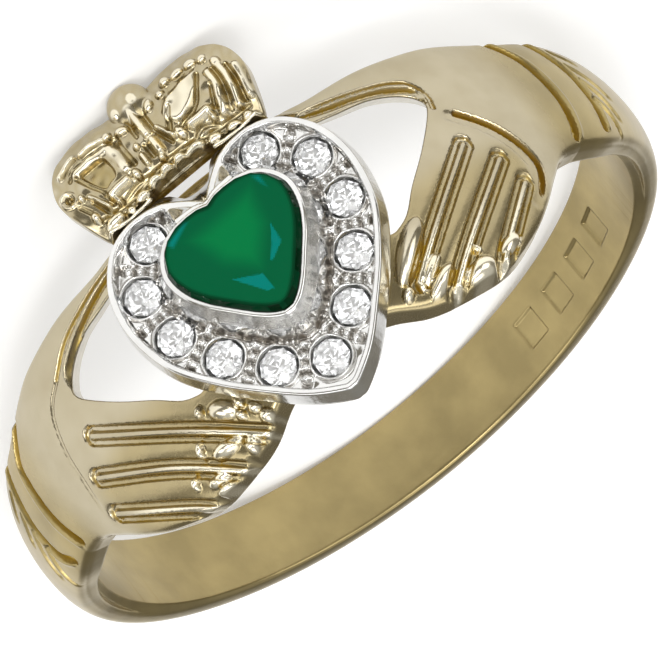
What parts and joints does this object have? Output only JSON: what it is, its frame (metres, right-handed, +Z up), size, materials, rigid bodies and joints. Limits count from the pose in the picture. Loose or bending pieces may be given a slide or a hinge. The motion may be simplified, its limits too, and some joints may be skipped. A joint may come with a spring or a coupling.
{
  "type": "claddagh ring",
  "caption": "Finger ring with two open hands holding a crowned heart: a yellow gold casting, a white gold heart-shaped cluster and a heart-cut green stone.",
  "frame": {"origin": "middle of the finger hole, halfway along the band's own width", "axes": "+X to the right when the head is seen from in front, +Y from the head to the back of the band, +Z up as the ring lies on the top of its crown and the edge of its band"},
  "size_m": [0.0194, 0.0214, 0.01],
  "materials": {
    "yellow_gold": "polished",
    "white_gold": "polished",
    "green_stone": "polished",
    "clear_stone": "polished"
  },
  "bodies": {
    "root": {"ring_body": "yellow_gold", "heart_setting": "white_gold", "heart_stone": "green_stone", "accent_stone_01": "clear_stone", "accent_stone_02": "clear_stone", "accent_stone_03": "clear_stone", "accent_stone_04": "clear_stone", "accent_stone_05": "clear_stone", "accent_stone_06": "clear_stone", "accent_stone_07": "clear_stone", "accent_stone_08": "clear_stone", "accent_stone_09": "clear_stone", "accent_stone_10": "clear_stone", "accent_stone_11": "clear_stone"}
  },
  "joints": []
}
